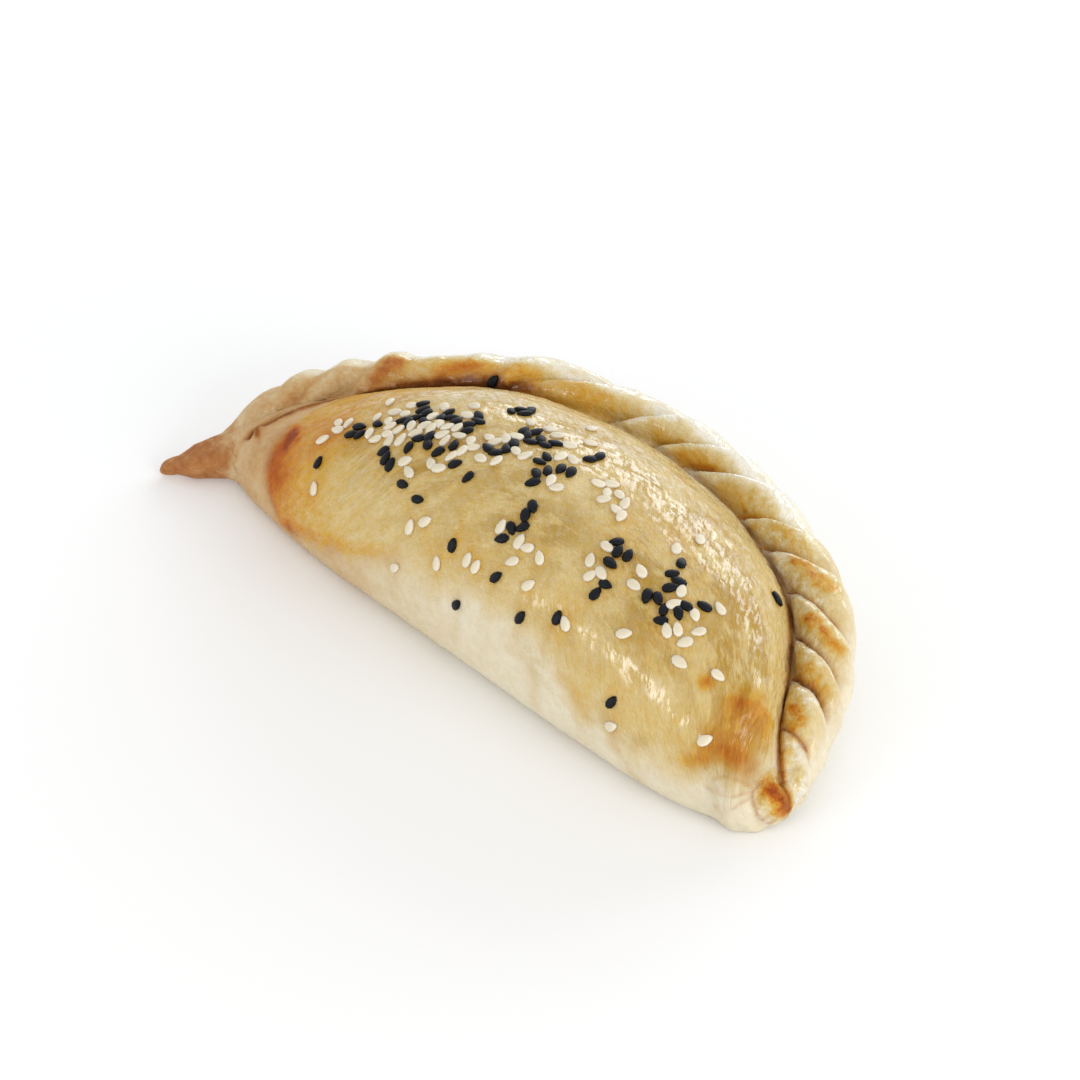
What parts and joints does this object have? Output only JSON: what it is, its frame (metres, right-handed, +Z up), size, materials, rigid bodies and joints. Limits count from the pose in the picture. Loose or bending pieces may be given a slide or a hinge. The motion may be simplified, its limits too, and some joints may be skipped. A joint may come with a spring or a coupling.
{
  "type": "empanada",
  "caption": "Baked half-moon empanada with a domed belly, a rope-crimped round edge, a pinched tail and a glazed crust sprinkled with sesame.",
  "frame": {"origin": "middle of the crust's box, on its flat base", "axes": "+X along the folded side from the tail to the knob, +Y from the folded side to the crimped rope, +Z up"},
  "size_m": [0.1538, 0.069, 0.0356],
  "materials": {
    "baked_dough": "golden baked dough with a brushed egg glaze"
  },
  "bodies": {
    "root": {"crust": "baked_dough"}
  },
  "joints": []
}
